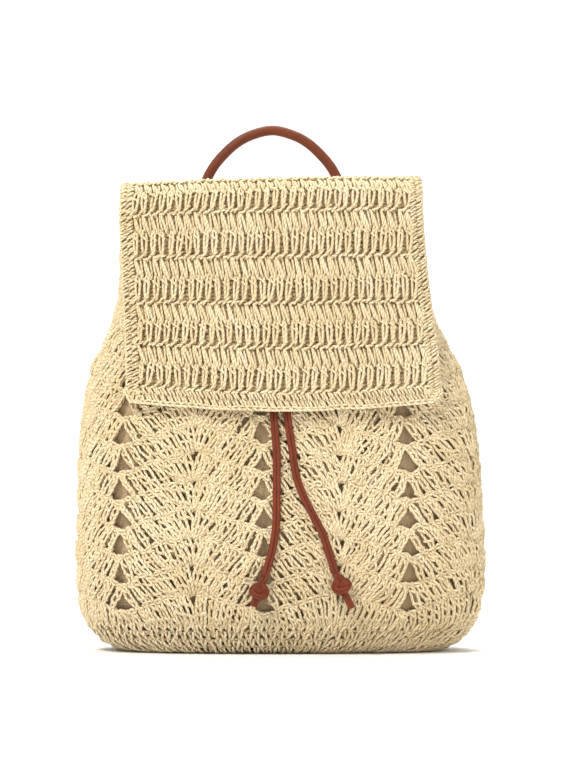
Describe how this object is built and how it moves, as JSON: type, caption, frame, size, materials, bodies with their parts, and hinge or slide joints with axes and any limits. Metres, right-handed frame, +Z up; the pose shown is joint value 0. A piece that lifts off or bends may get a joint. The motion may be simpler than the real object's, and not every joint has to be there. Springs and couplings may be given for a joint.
{
  "type": "straw backpack",
  "caption": "crocheted straw backpack with a gathered mouth, a folding flap, knotted leather drawstring ends, a rolled leather handle and leather shoulder straps",
  "frame": {"origin": "middle of the base's flat underside, where the bag stands", "axes": "+Z up, the front with the flap and laces faces -Y, X runs across the bag"},
  "size_m": [0.2889, 0.2063, 0.39],
  "materials": {
    "straw": "matt twisted straw yarn",
    "lining_cloth": "matt plain weave",
    "leather": "satin grain",
    "lace_leather": "satin, slightly waxed"
  },
  "bodies": {
    "root": {"base": "straw", "body": "straw", "lining": "lining_cloth", "flap": "straw", "flap_edging": "straw", "handle": "leather", "back_patch": "leather", "strap_left": "leather", "strap_right": "leather", "drawstring": "lace_leather", "lace_end_left": "lace_leather", "lace_end_right": "lace_leather", "knot_left": "lace_leather", "knot_right": "lace_leather"}
  },
  "joints": []
}
